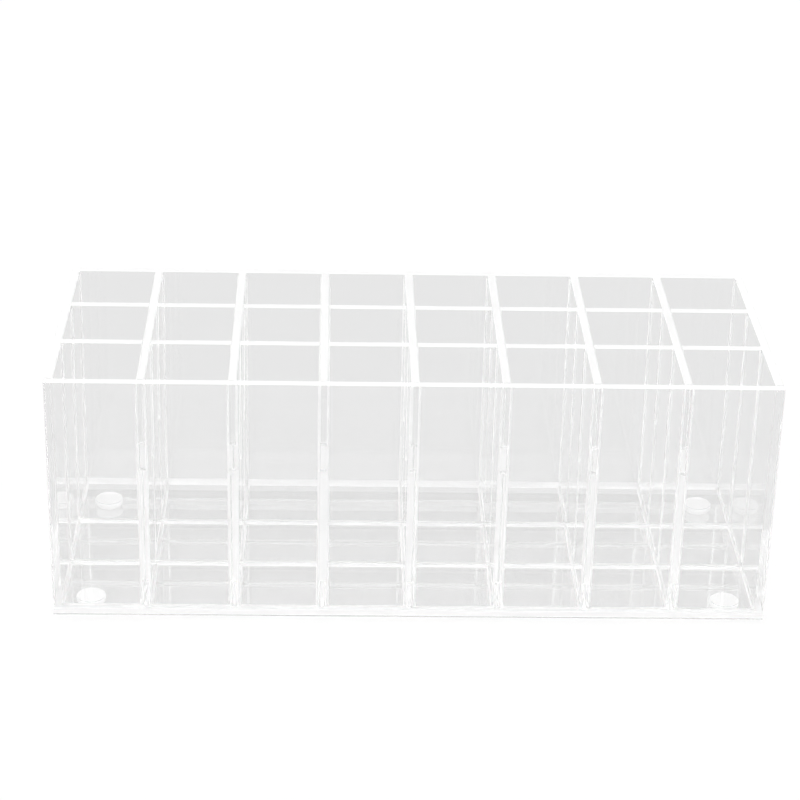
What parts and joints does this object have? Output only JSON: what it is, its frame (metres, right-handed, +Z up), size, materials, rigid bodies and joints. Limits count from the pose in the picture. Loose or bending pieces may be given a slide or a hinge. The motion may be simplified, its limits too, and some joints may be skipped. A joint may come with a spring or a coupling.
{
  "type": "vanity organizer",
  "caption": "Clear open-top cosmetics organizer box with a crossed grid of dividers that makes square upright cells, on small round feet.",
  "frame": {"origin": "on the table, under the middle of the box, at the level of the feet's flats", "axes": "+X to the right along the front, +Y from the front panel to the back panel, +Z up"},
  "size_m": [0.24, 0.096, 0.0898],
  "materials": {
    "clear_acrylic": "gloss",
    "foot_silicone": "satin",
    "foot_adhesive": "matte"
  },
  "bodies": {
    "root": {"base_plate": "clear_acrylic", "front_panel": "clear_acrylic", "back_panel": "clear_acrylic", "left_panel": "clear_acrylic", "right_panel": "clear_acrylic", "long_divider_1": "clear_acrylic", "long_divider_2": "clear_acrylic", "cross_divider_1": "clear_acrylic", "cross_divider_2": "clear_acrylic", "cross_divider_3": "clear_acrylic", "cross_divider_4": "clear_acrylic", "cross_divider_5": "clear_acrylic", "cross_divider_6": "clear_acrylic", "cross_divider_7": "clear_acrylic", "foot_front_left": "foot_silicone", "foot_front_right": "foot_silicone", "foot_back_left": "foot_silicone", "foot_back_right": "foot_silicone", "foot_adhesive_front_left": "foot_adhesive", "foot_adhesive_front_right": "foot_adhesive", "foot_adhesive_back_left": "foot_adhesive", "foot_adhesive_back_right": "foot_adhesive"}
  },
  "joints": []
}
